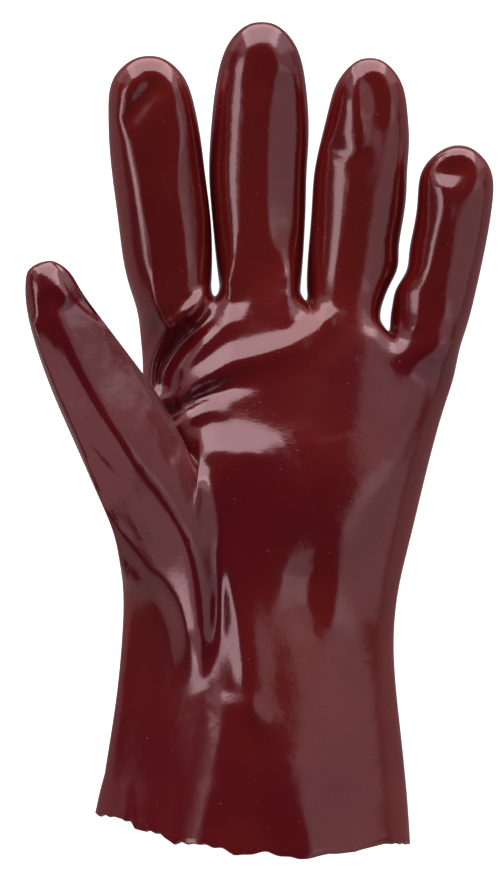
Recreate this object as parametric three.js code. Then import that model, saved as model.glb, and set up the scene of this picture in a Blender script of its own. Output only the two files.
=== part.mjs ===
// A chemical-resistant gauntlet glove for the left hand: one dipped shell of glossy soft plastic, open at
// the cut edge of its cuff, lying on its back with the palm up.
// Millimetres. +Y runs from the cuff to the fingertips, +Z out of the palm, and the thumb is on the -X side.
// A coarse cage of quads is box-modelled (a sleeve, then digits extruded from it), smoothed by one
// Catmull-Clark step, pressed with the folds that the glove shows, and given its wall.
import * as THREE from 'three';

// Driving dimensions
const WALL = 1.5; // dipped plastic on its knitted carrier
const RING_SWELL = 1.1; // a ring of eight or so cage points smooths to a circle this much smaller
const SIDE_SWELL = 1.03; // the same for the narrow sides of the sleeve
const CORNER_REACH = 0.93; // share of the half width at which the front and the back meet the sides
const BACK_BOW = 2.4; // exponent of the sleeve's section at the back: 2 is an ellipse, more is squarer
const MIDDLE_SHARE = 0.46; // height of the sleeve's widest line, as a share of its depth
const TIP_CROWN = 0.15; // how far the middle of a fingertip stands out, as a share of its last depth
const REST_EASE = 0.3; // depth of the flats at the back of the cuff and of the knuckles, where it rests

// Makes a row of named values out of each row of numbers
function table(columns, rows) {
  return rows.map((row) => Object.fromEntries(columns.map((column, i) => [column, row[i]])));
}

// The sleeve, from the cut edge to the knuckles. y: distance from the cut edge. left, right: outline seen
// from the palm. back, front: outline seen from the side. crest: where across the palm side it is highest.
// bowLeft, bowRight: exponent of the section on either side of the crest, where 1 is a straight slope and 2
// an ellipse. fan: how far the row follows the knuckle line.
const SLEEVE = table(['y', 'left', 'right', 'back', 'front', 'crest', 'bowLeft', 'bowRight', 'fan'], [
  [0, -53.0, 48.6, 0.2, 63.0, -17, 1.2, 1.7, 0],
  [20, -51.0, 47.6, 0.0, 60.0, -14, 1.2, 1.7, 0],
  [38, -48.0, 45.8, 0.8, 56.5, -10, 1.2, 1.7, 0],
  [55, -45.5, 43.8, 2.0, 53.5, -7, 1.2, 1.7, 0],
  [71, -44.2, 43.0, 3.0, 51.5, -8, 1.25, 1.7, 0],
  [86, -43.5, 44.6, 3.0, 50.0, -9, 1.4, 1.75, 0],
  [100, -44.0, 48.0, 2.4, 48.8, -6, 1.7, 1.9, 0.05],
  [113, -43.5, 50.9, 1.6, 46.8, -2, 2.0, 2.1, 0.15],
  [125, -42.0, 53.3, 0.9, 44.8, 2, 2.3, 2.3, 0.3],
  [137, -40.0, 55.9, 0.4, 42.2, 6, 2.4, 2.4, 0.45],
  [148, -38.0, 58.4, 0.1, 39.5, 10, 2.4, 2.4, 0.6],
  [158, -37.4, 60.8, 0.0, 37.0, 12, 2.4, 2.4, 0.8],
  [168, -38.4, 63.4, 0.8, 34.5, 12.5, 2.4, 2.4, 1],
]);
const KNUCKLE_LEVEL = 168; // height of the last row above, which the knuckle line stands on
const ROOT_RISE = 7; // from that row to the roots of the fingers
// The row of roots. back, front: outline seen from the side. cornerShare: how far a finger's corner columns
// stand from its middle, as a share of its width. cornerDrop: how far they lie below it. corner: how far
// they are drawn in from the back and the front.
const ROOT = { back: 2.6, front: 32.5, cornerShare: 0.38, cornerDrop: 2.5, corner: 3.0 };

// The fingers, from the thumb's side. root: centre, width and height of the root. Each section is one ring:
// x, y, z of its centre, and its width and depth.
const FINGERS = [
  {
    name: 'index', rootX: -27.7, rootWidth: 25.2, rootY: 178,
    sections: [
      { x: -28.8, y: 187, z: 17.5, width: 26.6, depth: 26.5 },
      { x: -30.0, y: 200, z: 18.5, width: 29.0, depth: 26.0 },
      { x: -31.6, y: 214, z: 20.5, width: 30.0, depth: 25.5 },
      { x: -33.5, y: 228, z: 23.5, width: 30.0, depth: 24.5 },
      { x: -35.0, y: 241, z: 26.5, width: 28.0, depth: 22.5 },
      { x: -35.4, y: 251.5, z: 29.0, width: 22.0, depth: 18.5 },
      { x: -35.8, y: 258.2, z: 30.6, width: 11.0, depth: 9.0 },
    ],
  },
  {
    name: 'middle', rootX: 0.2, rootWidth: 27.2, rootY: 180,
    sections: [
      { x: 0.2, y: 190, z: 17.0, width: 27.4, depth: 27.0 },
      { x: -0.2, y: 206, z: 17.8, width: 29.6, depth: 26.5 },
      { x: 0.0, y: 222, z: 19.8, width: 31.6, depth: 26.0 },
      { x: 0.3, y: 238, z: 23.0, width: 31.4, depth: 25.0 },
      { x: 0.6, y: 252, z: 26.5, width: 28.6, depth: 22.5 },
      { x: 0.8, y: 262.5, z: 29.2, width: 22.4, depth: 18.5 },
      { x: 0.9, y: 269.2, z: 30.8, width: 11.2, depth: 9.0 },
    ],
  },
  {
    name: 'ring', rootX: 28.0, rootWidth: 25.6, rootY: 175,
    sections: [
      { x: 28.4, y: 184, z: 17.0, width: 26.4, depth: 26.5 },
      { x: 30.6, y: 198, z: 17.8, width: 28.4, depth: 26.0 },
      { x: 32.6, y: 212, z: 19.8, width: 29.8, depth: 25.5 },
      { x: 34.2, y: 226, z: 22.8, width: 29.8, depth: 24.5 },
      { x: 35.2, y: 239, z: 26.0, width: 26.2, depth: 22.0 },
      { x: 35.8, y: 250, z: 28.8, width: 19.6, depth: 17.5 },
      { x: 36.0, y: 257.6, z: 30.4, width: 9.8, depth: 8.5 },
    ],
  },
  {
    name: 'little', rootX: 54.6, rootWidth: 22.6, rootY: 165,
    sections: [
      { x: 56.0, y: 174, z: 17.0, width: 23.8, depth: 24.5 },
      { x: 58.4, y: 185, z: 17.8, width: 24.2, depth: 24.0 },
      { x: 61.0, y: 196, z: 19.6, width: 23.8, depth: 23.5 },
      { x: 63.2, y: 207, z: 22.0, width: 23.6, depth: 22.5 },
      { x: 64.4, y: 217, z: 24.6, width: 22.4, depth: 20.5 },
      { x: 65.0, y: 224.5, z: 26.6, width: 17.4, depth: 16.0 },
      { x: 65.2, y: 229.4, z: 27.8, width: 8.8, depth: 8.0 },
    ],
  },
];

// The thumb leaves the sleeve through the block of quads from THUMB_ROWS[0] to THUMB_ROWS[1] and from the
// thumb's side of the sleeve to front column THUMB_COLUMN. width lies across the thumb, turned by lean
// degrees from +X towards +Z, and depth lies square to it.
const THUMB_ROWS = [5, 9];
const THUMB_COLUMN = 2;
const THUMB_SECTIONS = [
  { x: -32.4, y: 113, z: 47.0, width: 26.0, depth: 41.0, lean: 14 },
  { x: -38.4, y: 126, z: 49.5, width: 27.5, depth: 35.0, lean: 26 },
  { x: -45.0, y: 140, z: 51.5, width: 28.5, depth: 29.5, lean: 34 },
  { x: -53.4, y: 154, z: 54.5, width: 25.4, depth: 26.0, lean: 38 },
  { x: -61.0, y: 168, z: 58.0, width: 20.8, depth: 22.0, lean: 38 },
  { x: -67.2, y: 181, z: 61.0, width: 15.6, depth: 17.0, lean: 38 },
  { x: -70.6, y: 189.8, z: 63.0, width: 8.0, depth: 9.0, lean: 38 },
];

// The cut edge, seen from the palm: how far each point stands above the lowest one.
const CUT_FRONT = [
  { x: -51.6, y: 13.2 }, { x: -45.5, y: 12.4 }, { x: -42.3, y: 11.9 }, { x: -40.3, y: 9.0 },
  { x: -34.5, y: 8.7 }, { x: -27.4, y: 5.2 }, { x: -17.4, y: 5.2 }, { x: -7.7, y: 1.9 },
  { x: 2.9, y: 2.3 }, { x: 12.6, y: 0 }, { x: 22.9, y: 1.9 }, { x: 31.0, y: 1.3 },
  { x: 40.6, y: 3.9 }, { x: 49.0, y: 3.6 },
];
// The back of the edge is a plain slanted wave between the same two ends.
const CUT_BACK = { left: 13.2, right: 3.6, wave: 1.2, waves: 4 };
const CUT_REACH = 26; // the cut shifts the sleeve up to this height

// Folds pressed into the palm side. Each runs from one point to another, seen from the palm, and lifts
// (or sinks, where lift is negative) what lies within about its width.
const FOLDS = [
  { name: 'hollow under the index finger', from: [-29, 155], to: [-12, 172], width: 7.5, lift: -3.5 },
  { name: 'ridge from the ring root to the thumb', from: [-22, 152], to: [10, 168], width: 7, lift: 2 },
  { name: 'hollow over the heel', from: [-26, 144], to: [8, 151], width: 7.5, lift: -3.5 },
  { name: 'ridge of the heel', from: [-16, 133], to: [8, 136], width: 9, lift: 1.5 },
  { name: 'ridge down from the thumb', from: [-36, 96], to: [-22, 74], width: 8, lift: 3 },
  { name: 'dent in the tip of the index finger', from: [-43, 246], to: [-32, 238], width: 5, lift: -1.6 },
  { name: 'dent in the tip of the middle finger', from: [1, 256], to: [8, 248], width: 5, lift: -1.2 },
  { name: 'dent in the tip of the little finger', from: [61, 224], to: [63, 222], width: 5, lift: -1.4 },
];

const FOLD_FACING = { none: 0.1, full: 0.6 }; // how squarely the skin faces up where a fold fades in

// Cage helpers: points is a list of THREE.Vector3, quads a list of four indices each, facing out.
const cage = { points: [], quads: [] };

function addPoint(x, y, z) {
  cage.points.push(new THREE.Vector3(x, y, z));
  return cage.points.length - 1;
}

function mix(a, b, t) {
  return a + (b - a) * t;
}

// Columns across the hand: three for each finger, at its middle and at the rounded corners beside it
const columns = FINGERS.flatMap((finger) => [-1, 0, 1].map((side) => ({
  side,
  x: finger.rootX + side * ROOT.cornerShare * finger.rootWidth,
  y: finger.rootY - Math.abs(side) * ROOT.cornerDrop,
  edgeX: finger.rootX + (side * finger.rootWidth) / 2,
  edgeY: finger.rootY,
})));
const firstColumn = columns[0].x;
const lastColumn = columns[columns.length - 1].x;

// Height of a row at a column: rows near the knuckles follow the line of the finger roots
function fanned(row, column) {
  return row.y + (column.y - ROOT_RISE - KNUCKLE_LEVEL) * row.fan;
}

// One ring of the sleeve: the front from the thumb's side, the far side, the back, and the thumb's side
function sleeveRing(row) {
  const centre = (row.left + row.right) / 2;
  const half = (row.right - row.left) / 2;
  const middle = mix(row.back, row.front, MIDDLE_SHARE);
  const place = (column, faceZ, peak, bowLeft, bowRight) => {
    const across = mix(-1, 1, (column.x - firstColumn) / (lastColumn - firstColumn)) * CORNER_REACH;
    const x = centre + half * across;
    const [reach, bow] = x < peak ? [peak - row.left, bowLeft] : [row.right - peak, bowRight];
    const rise = (1 - (Math.abs(x - peak) / reach) ** bow) ** (1 / bow);
    return addPoint(x, fanned(row, column), mix(middle, faceZ, rise));
  };
  const side = (direction, column) => addPoint(
    centre + direction * half * SIDE_SWELL,
    fanned(row, column),
    middle,
  );
  const front = columns.map((column) => place(column, row.front, row.crest, row.bowLeft, row.bowRight));
  const far = side(1, columns[columns.length - 1]);
  const back = columns.map((column) => place(column, row.back, centre, BACK_BOW, BACK_BOW));
  const near = side(-1, columns[0]);
  return { front, far, back, near };
}

function ringLoop(ring) {
  return [...ring.front, ring.far, ...[...ring.back].reverse(), ring.near];
}

// The row of finger roots: the same columns at the fingers' own places, with a point at mid depth in each
function rootRing() {
  const middle = (ROOT.back + ROOT.front) / 2;
  const corner = (column) => Math.abs(column.side) * ROOT.corner;
  const front = columns.map((column) => addPoint(column.x, column.y, ROOT.front - corner(column)));
  const back = columns.map((column) => addPoint(column.x, column.y, ROOT.back + corner(column)));
  const mid = columns.map((column) => addPoint(column.edgeX, column.edgeY, middle));
  return { front, back, mid, near: mid[0], far: mid[mid.length - 1] };
}

// Sleeve
const rings = SLEEVE.map(sleeveRing);
const roots = rootRing();
rings.push(roots);
const loops = rings.map(ringLoop);
const thumbBlock = [];
for (let row = 0; row + 1 < loops.length; row += 1) {
  const [below, above] = [loops[row], loops[row + 1]];
  below.forEach((_, i) => {
    const next = (i + 1) % below.length;
    const quad = [below[i], below[next], above[next], above[i]];
    cage.quads.push(quad);
    const inRows = row >= THUMB_ROWS[0] && row < THUMB_ROWS[1];
    if (inRows && (i < THUMB_COLUMN || i === below.length - 1)) {
      thumbBlock.push(quad);
    }
  });
}

// The tops: two quads deep between neighbouring columns
const rootQuads = columns.slice(1).map((_, i) => [
  [roots.front[i], roots.front[i + 1], roots.mid[i + 1], roots.mid[i]],
  [roots.mid[i], roots.mid[i + 1], roots.back[i + 1], roots.back[i]],
]);
rootQuads.flat().forEach((quad) => cage.quads.push(quad));

// Extrudes a block of quads: its points are doubled, and a wall of quads joins the old rim to the new one.
// Returns a map from each old point to its copy.
function extrude(block) {
  const copies = new Map();
  block.flat().forEach((point) => {
    if (!copies.has(point)) {
      const { x, y, z } = cage.points[point];
      copies.set(point, addPoint(x, y, z));
    }
  });
  const edges = new Set(block.flatMap((quad) => quad.map((a, i) => `${a}_${quad[(i + 1) % 4]}`)));
  block.forEach((quad) => {
    quad.forEach((a, i) => {
      const b = quad[(i + 1) % 4];
      if (!edges.has(`${b}_${a}`)) {
        cage.quads.push([a, b, copies.get(b), copies.get(a)]);
      }
    });
  });
  block.forEach((quad) => quad.forEach((a, i) => {
    quad[i] = copies.get(a);
  }));
  return copies;
}

// Grows a digit out of a block. spots gives each point's place in the block, from -1 to 1 both ways, which
// is bent to a disc, so that the block's rim becomes a round section.
function growDigit(block, spots, sections) {
  let places = spots;
  const start = centroid([...spots.keys()]);
  sections.forEach((section, i) => {
    const lean = THREE.MathUtils.degToRad(section.lean ?? 0);
    const across = new THREE.Vector3(Math.cos(lean), 0, Math.sin(lean));
    const copies = extrude(block);
    places = new Map([...places].map(([point, spot]) => [copies.get(point), spot]));
    const before = i > 0 ? sections[i - 1] : start;
    const after = sections[Math.min(i + 1, sections.length - 1)];
    const along = new THREE.Vector3(after.x - before.x, after.y - before.y, after.z - before.z).normalize();
    const u = across.clone().addScaledVector(along, -across.dot(along)).normalize();
    const v = new THREE.Vector3().crossVectors(along, u);
    const last = i === sections.length - 1;
    places.forEach(([s, t], point) => {
      const [a, b] = [s * Math.sqrt(1 - (t * t) / 2), t * Math.sqrt(1 - (s * s) / 2)];
      const crown = last ? (1 - a * a - b * b) * section.depth * TIP_CROWN : 0;
      cage.points[point].set(section.x, section.y, section.z)
        .addScaledVector(u, (a * section.width * RING_SWELL) / 2)
        .addScaledVector(v, (b * section.depth * RING_SWELL) / 2)
        .addScaledVector(along, crown);
    });
  });
}

function centroid(points) {
  const sum = new THREE.Vector3();
  points.forEach((point) => sum.add(cage.points[point]));
  return sum.divideScalar(points.length);
}

// Fingers
FINGERS.forEach((finger, f) => {
  const block = [...rootQuads[3 * f], ...rootQuads[3 * f + 1]];
  const spots = new Map();
  [0, 1, 2].forEach((i) => {
    spots.set(roots.front[3 * f + i], [i - 1, -1]);
    spots.set(roots.mid[3 * f + i], [i - 1, 0]);
    spots.set(roots.back[3 * f + i], [i - 1, 1]);
  });
  growDigit(block, spots, finger.sections);
});

// Thumb
const thumbSpots = new Map();
const thumbHigh = THUMB_ROWS[1] - THUMB_ROWS[0];
for (let row = THUMB_ROWS[0]; row <= THUMB_ROWS[1]; row += 1) {
  const around = [rings[row].near, ...rings[row].front.slice(0, THUMB_COLUMN + 1)];
  around.forEach((point, i) => {
    thumbSpots.set(point, [
      mix(-1, 1, i / (around.length - 1)),
      mix(-1, 1, (row - THUMB_ROWS[0]) / thumbHigh),
    ]);
  });
}
growDigit(thumbBlock, thumbSpots, THUMB_SECTIONS);

// One Catmull-Clark step. The open rim of the cuff keeps its own smooth line.
function subdivide({ points, quads }) {
  const fresh = [];
  const add = (point) => fresh.push(point) - 1;
  const average = (list) => list.reduce((sum, p) => sum.add(p), new THREE.Vector3())
    .divideScalar(list.length);
  const centres = quads.map((quad) => add(average(quad.map((i) => points[i]))));
  const edges = new Map();
  const key = (a, b) => `${Math.min(a, b)}_${Math.max(a, b)}`;
  quads.forEach((quad, face) => quad.forEach((a, i) => {
    const b = quad[(i + 1) % 4];
    const edge = edges.get(key(a, b)) ?? { ends: [a, b], faces: [] };
    edge.faces.push(face);
    edges.set(key(a, b), edge);
  }));
  const around = points.map(() => ({ faces: new Set(), middles: [], rim: [] }));
  edges.forEach((edge) => {
    const [a, b] = edge.ends.map((i) => points[i]);
    const middle = average([a, b]);
    const inside = edge.faces.length === 2;
    edge.point = add(inside ? average([a, b, ...edge.faces.map((f) => fresh[centres[f]])]) : middle);
    edge.ends.forEach((end) => {
      around[end].middles.push(middle);
      edge.faces.forEach((face) => around[end].faces.add(face));
      if (!inside) {
        around[end].rim.push(middle);
      }
    });
  });
  const moved = points.map((point, i) => {
    const { faces, middles, rim } = around[i];
    const n = middles.length;
    if (n === 0) {
      return -1; // left behind inside a digit when its block was extruded
    }
    if (rim.length) {
      return add(average([...rim, point, point]));
    }
    const q = average([...faces].map((face) => fresh[centres[face]]));
    const r = average(middles);
    return add(q.addScaledVector(r, 2).addScaledVector(point, n - 3).divideScalar(n));
  });
  const parts = quads.flatMap((quad, face) => quad.map((a, i) => [
    moved[a],
    edges.get(key(a, quad[(i + 1) % 4])).point,
    centres[face],
    edges.get(key(quad[(i + 3) % 4], a)).point,
  ]));
  return { points: fresh, quads: parts };
}

// Normals at the points, out of the shell
function normalsOf({ points, quads }) {
  const normals = points.map(() => new THREE.Vector3());
  quads.forEach((quad) => {
    const [a, b, c, d] = quad.map((i) => points[i]);
    const face = new THREE.Vector3().crossVectors(c.clone().sub(a), d.clone().sub(b));
    quad.forEach((i) => normals[i].add(face));
  });
  return normals.map((normal) => normal.normalize());
}

function distanceToSegment(x, y, [ax, ay], [bx, by]) {
  const [dx, dy] = [bx - ax, by - ay];
  const t = THREE.MathUtils.clamp(((x - ax) * dx + (y - ay) * dy) / (dx * dx + dy * dy), 0, 1);
  return Math.hypot(x - ax - t * dx, y - ay - t * dy);
}

// Folds: only what faces out of the palm moves, straight up or down
function pressFolds(skin) {
  const normals = normalsOf(skin);
  skin.points.forEach((point, i) => {
    const facing = THREE.MathUtils.smoothstep(normals[i].z, FOLD_FACING.none, FOLD_FACING.full);
    FOLDS.forEach((fold) => {
      const near = distanceToSegment(point.x, point.y, fold.from, fold.to) / fold.width;
      point.z += fold.lift * facing * Math.exp(-near * near);
    });
  });
}

// Cut edge: the height of the cut at a place across the cuff, on the palm side or on the back
function cutHeight(x, palmSide) {
  const [first, last] = [CUT_FRONT[0], CUT_FRONT[CUT_FRONT.length - 1]];
  if (!palmSide) {
    const t = THREE.MathUtils.clamp((x - first.x) / (last.x - first.x), 0, 1);
    return mix(CUT_BACK.left, CUT_BACK.right, t) + CUT_BACK.wave * Math.sin(t * CUT_BACK.waves * 2 * Math.PI);
  }
  const after = CUT_FRONT.findIndex((point) => point.x >= x);
  if (after <= 0) {
    return after < 0 ? last.y : first.y;
  }
  const [a, b] = [CUT_FRONT[after - 1], CUT_FRONT[after]];
  return mix(a.y, b.y, (x - a.x) / (b.x - a.x));
}

function cutCuff(skin) {
  const middle = mix(SLEEVE[0].back, SLEEVE[0].front, MIDDLE_SHARE);
  skin.points.forEach((point) => {
    if (point.y < CUT_REACH) {
      point.y += cutHeight(point.x, point.z > middle) * (1 - point.y / CUT_REACH);
    }
  });
}

// Rest: the lowest facets of the back are eased flat, level with what the glove lies on
function easeFlat(skin) {
  const floor = Math.min(...skin.points.map((point) => point.z)) + REST_EASE;
  skin.points.forEach((point) => {
    point.z = Math.max(point.z, floor);
  });
}

// The shell: the outer skin, the same skin moved in by the wall, and the rim of the cuff between them
function shellGeometry(skin) {
  const normals = normalsOf(skin);
  const outside = skin.points;
  const inside = outside.map((point, i) => point.clone().addScaledVector(normals[i], -WALL));
  const rimEdges = new Set(skin.quads.flatMap((quad) => quad.map((a, i) => `${a}_${quad[(i + 1) % 4]}`)));
  const count = outside.length;
  const triangles = [];
  skin.quads.forEach((quad) => {
    const [a, b, c, d] = quad;
    triangles.push(a, b, c, a, c, d);
    triangles.push(a + count, c + count, b + count, a + count, d + count, c + count);
    quad.forEach((from, i) => {
      const to = quad[(i + 1) % 4];
      if (!rimEdges.has(`${to}_${from}`)) {
        triangles.push(from, from + count, to + count, from, to + count, to);
      }
    });
  });
  const geometry = new THREE.BufferGeometry().setFromPoints([...outside, ...inside]);
  geometry.setIndex(triangles);
  geometry.computeVertexNormals();
  return geometry;
}

const skin = subdivide(cage);
cutCuff(skin);
pressFolds(skin);
easeFlat(skin);

const plastic = new THREE.MeshStandardMaterial({ color: 0x6a1014, roughness: 0.14, metalness: 0 });
const shell = new THREE.Mesh(shellGeometry(skin), plastic);
shell.name = 'glove_shell';

// The origin is under the middle of the glove, where it lies
const box = new THREE.Box3().setFromObject(shell);
shell.position.set(-(box.min.x + box.max.x) / 2, -(box.min.y + box.max.y) / 2, -box.min.z);

const glove = new THREE.Group();
glove.add(shell);
export default glove;
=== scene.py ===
# %% [markdown]
# # A dipped gauntlet glove, palm up
#
# The real glove is made on a hand-shaped former: a thin knitted carrier is pulled over it and dipped in
# soft plastic, which cures to one glossy shell. Laid down empty, the shell keeps its form, but its tips
# dent, its palm creases where the thumb folds in, and its cuff shows how the knife wandered.
#
# This lesson makes that shell in Blender: a coarse cage is box-modelled from short tables, smoothed,
# given its wall, and then pressed with the folds that an empty glove shows.

import math

import bpy
import numpy as np
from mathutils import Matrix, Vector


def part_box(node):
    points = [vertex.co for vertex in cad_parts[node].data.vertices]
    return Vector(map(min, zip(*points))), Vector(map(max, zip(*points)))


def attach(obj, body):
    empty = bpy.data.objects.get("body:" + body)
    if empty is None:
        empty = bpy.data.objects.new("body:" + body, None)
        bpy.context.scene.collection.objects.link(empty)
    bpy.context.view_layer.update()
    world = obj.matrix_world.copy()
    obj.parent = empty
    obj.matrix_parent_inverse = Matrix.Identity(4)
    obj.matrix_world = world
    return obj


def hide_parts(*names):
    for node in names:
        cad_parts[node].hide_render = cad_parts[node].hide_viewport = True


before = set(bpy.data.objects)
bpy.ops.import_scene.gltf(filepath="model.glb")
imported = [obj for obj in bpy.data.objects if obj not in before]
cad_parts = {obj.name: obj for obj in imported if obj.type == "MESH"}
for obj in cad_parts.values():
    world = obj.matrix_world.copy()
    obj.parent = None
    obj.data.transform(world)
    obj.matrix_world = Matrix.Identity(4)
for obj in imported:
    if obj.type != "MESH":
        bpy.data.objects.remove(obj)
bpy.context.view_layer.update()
cad_low, cad_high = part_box("glove_shell")
print("CAD box", [round(v * 1000, 1) for v in (*cad_low, *cad_high)], "mm")

# %% [markdown]
# ## The camera
#
# The glove lies flat, so the camera hangs straight above it and looks down. A long lens from 2.5 m keeps
# the perspective as slight as a product photographer would. The picture is taller than wide, so the
# 36 mm of film run along its height.

# %% Camera
EYE = (-0.0036, -0.0028, 2.5)  # where the camera hangs, above the middle of the glove
FILM = 36.0  # mm along the picture's height
LENS = 306.9  # mm

bpy.ops.object.select_all(action="DESELECT")
bpy.ops.object.camera_add(location=EYE, rotation=(0, 0, 0))
camera = bpy.context.object
camera.name = "camera"
camera.data.sensor_width = FILM
camera.data.lens = LENS
bpy.context.scene.camera = camera
print("camera", EYE, "lens", LENS, "mm")

# %% [markdown]
# ## Sizes
#
# Everything is measured in millimetres from the lowest point of the cut edge, along the middle of the
# hand, and scaled to metres at the end. A wall of 1.5 mm is a heavy dip on its carrier.
#
# The sleeve is a tube from the cuff to the knuckles. Each row says where its outline is, seen from the
# palm (left, right) and from the side (back, front), where across the palm it is highest (crest) and how
# each side of the crest falls away: 1 is a straight slope and 2 an ellipse.

# %% Sizes of the sleeve
WALL = 1.5
BACK_BOW = 2.4
MIDDLE_SHARE = 0.46  # height of the widest line, as a share of the depth
CORNER_REACH = 0.93  # share of the half width at which front and back meet the sides
SIDE_SWELL = 1.045  # smoothing draws the narrow sides in by this much


def table(names, rows):
    """A list of rows of numbers becomes a list of dictionaries with named values."""
    return [dict(zip(names.split(), row)) for row in rows]


SLEEVE = table("y left right back front crest bow_left bow_right fan", [
    (0, -53.0, 48.6, 0.2, 63.0, -17, 1.2, 1.7, 0),
    (20, -51.0, 47.6, 0.0, 60.0, -14, 1.2, 1.7, 0),
    (38, -48.0, 45.8, 0.8, 56.5, -10, 1.2, 1.7, 0),
    (55, -45.5, 43.8, 2.0, 53.5, -7, 1.2, 1.7, 0),
    (71, -44.2, 43.0, 3.0, 51.5, -8, 1.25, 1.7, 0),
    (86, -43.5, 44.6, 3.0, 50.0, -9, 1.4, 1.75, 0),
    (100, -44.0, 48.0, 2.4, 48.8, -6, 1.7, 1.9, 0.05),
    (113, -43.5, 50.9, 1.6, 46.8, -2, 2.0, 2.1, 0.15),
    (125, -42.0, 53.3, 0.9, 44.8, 2, 2.3, 2.3, 0.3),
    (137, -40.0, 55.9, 0.4, 42.2, 6, 2.4, 2.4, 0.45),
    (148, -38.0, 58.4, 0.1, 39.5, 10, 2.4, 2.4, 0.6),
    (158, -37.4, 60.8, 0.0, 37.0, 12, 2.4, 2.4, 0.8),
    (168, -38.4, 63.4, 0.8, 34.5, 12.5, 2.4, 2.4, 1),
])
KNUCKLE_LEVEL = 168  # height of the last row, which the line of knuckles stands on
ROOT_RISE = 7  # from that row to the roots of the fingers
ROOT = {"back": 2.6, "front": 32.5, "corner_share": 0.38, "corner_drop": 2.5, "corner": 1.6}
print(len(SLEEVE), "rows in the sleeve")

# %% [markdown]
# The fingers and the thumb are grown out of the sleeve ring by ring. Each ring has its centre, the width
# across the digit and its depth. The thumb's rings also lean, because a thumb faces across the palm.

# %% Sizes of the digits
RING_SWELL = 1.13  # a ring of eight points smooths to a circle this much smaller
TIP_CROWN = 0.15  # how far the middle of a tip stands out, as a share of its last depth

FINGERS = [
    {"name": "index", "x": -27.7, "width": 25.2, "y": 178, "rings": table("x y z width depth", [
        (-28.8, 187, 17.5, 26.6, 26.5),
        (-30.0, 200, 18.5, 29.0, 26.0),
        (-31.6, 214, 20.5, 30.0, 25.5),
        (-33.5, 228, 23.5, 30.0, 24.5),
        (-35.0, 241, 26.5, 28.0, 22.5),
        (-35.6, 251.5, 29.0, 24.0, 18.5),
        (-35.8, 258.2, 30.6, 11.0, 9.0),
    ])},
    {"name": "middle", "x": 0.2, "width": 27.2, "y": 180, "rings": table("x y z width depth", [
        (0.2, 190, 17.0, 27.4, 27.0),
        (-0.2, 206, 17.8, 29.6, 26.5),
        (0.0, 222, 19.8, 31.6, 26.0),
        (0.3, 238, 23.0, 31.4, 25.0),
        (0.6, 252, 26.5, 28.6, 22.5),
        (0.8, 262.5, 29.2, 23.4, 18.5),
        (0.9, 269.2, 30.8, 11.2, 9.0),
    ])},
    {"name": "ring", "x": 28.0, "width": 25.6, "y": 175, "rings": table("x y z width depth", [
        (28.4, 184, 17.0, 26.4, 26.5),
        (30.6, 198, 17.8, 28.4, 26.0),
        (32.6, 212, 19.8, 29.8, 25.5),
        (34.2, 226, 22.8, 29.8, 24.5),
        (35.2, 239, 26.0, 26.2, 22.0),
        (35.8, 250, 28.8, 21.2, 17.5),
        (36.0, 257.6, 30.4, 9.8, 8.5),
    ])},
    {"name": "little", "x": 54.6, "width": 22.6, "y": 165, "rings": table("x y z width depth", [
        (56.0, 174, 17.0, 23.8, 24.5),
        (58.4, 185, 17.8, 24.2, 24.0),
        (61.0, 196, 19.6, 23.8, 23.5),
        (63.2, 207, 22.0, 23.6, 22.5),
        (64.2, 217, 24.6, 23.8, 20.5),
        (64.9, 224.5, 26.6, 19.2, 16.0),
        (65.2, 229.4, 27.8, 8.8, 8.0),
    ])},
]
THUMB_ROWS = (5, 9)  # the rows of the sleeve that the thumb leaves through
THUMB_COLUMN = 2  # and the last column of the palm that it takes in
THUMB = {"name": "thumb", "rings": table("x y z width depth lean", [
    (-32.4, 113, 47.0, 26.0, 41.0, 14),
    (-38.4, 126, 49.5, 27.5, 35.0, 26),
    (-45.0, 140, 51.5, 28.5, 29.5, 34),
    (-53.4, 154, 54.5, 25.4, 26.0, 38),
    (-61.0, 168, 58.0, 20.8, 22.0, 38),
    (-67.2, 181, 61.0, 15.6, 17.0, 38),
    (-70.6, 189.8, 63.0, 8.0, 9.0, 38),
])}
DIGITS = [*FINGERS, THUMB]
print(sum(len(digit["rings"]) for digit in DIGITS), "rings in the digits")

# %% [markdown]
# ## The cage
#
# A cube is cut by planes into columns, three for each finger, into rows, and once at mid depth. The end
# face at the cuff is deleted, so the box becomes a tube that ends in the roots of the fingers.

# %% A cube cut into columns and rows
COLUMNS = [(finger, side) for finger in FINGERS for side in (-1, 0, 1)]
COLUMN_X = [f["x"] + side * ROOT["corner_share"] * f["width"] for f, side in COLUMNS]
COLUMN_Y = [f["y"] - abs(side) * ROOT["corner_drop"] for f, side in COLUMNS]
ROW_COUNT = len(SLEEVE)  # the row after the last one is the row of roots

bpy.ops.mesh.primitive_cube_add(size=2, location=(0, 0, 0))
glove = bpy.context.object
glove.name = "glove_skin"
bpy.ops.object.mode_set(mode="EDIT")
half_width = (COLUMN_X[-1] - COLUMN_X[0]) / 2
middle_x = (COLUMN_X[-1] + COLUMN_X[0]) / 2
bpy.ops.transform.resize(value=(half_width, ROW_COUNT / 2, 1))
bpy.ops.transform.translate(value=(middle_x, ROW_COUNT / 2, 0))


def cut(place, direction):
    """Cuts the whole mesh by one plane, and keeps both sides."""
    bpy.ops.mesh.select_all(action="SELECT")
    bpy.ops.mesh.bisect(plane_co=place, plane_no=direction)


for x in COLUMN_X[1:-1]:
    cut((x, 0, 0), (1, 0, 0))
for row in range(1, ROW_COUNT):
    cut((0, row, 0), (0, 1, 0))
cut((0, 0, 0), (0, 0, 1))
bpy.ops.object.mode_set(mode="OBJECT")
print(len(glove.data.vertices), "points after the cuts")

# %% Selecting by place
SMALL = 1e-3


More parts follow.
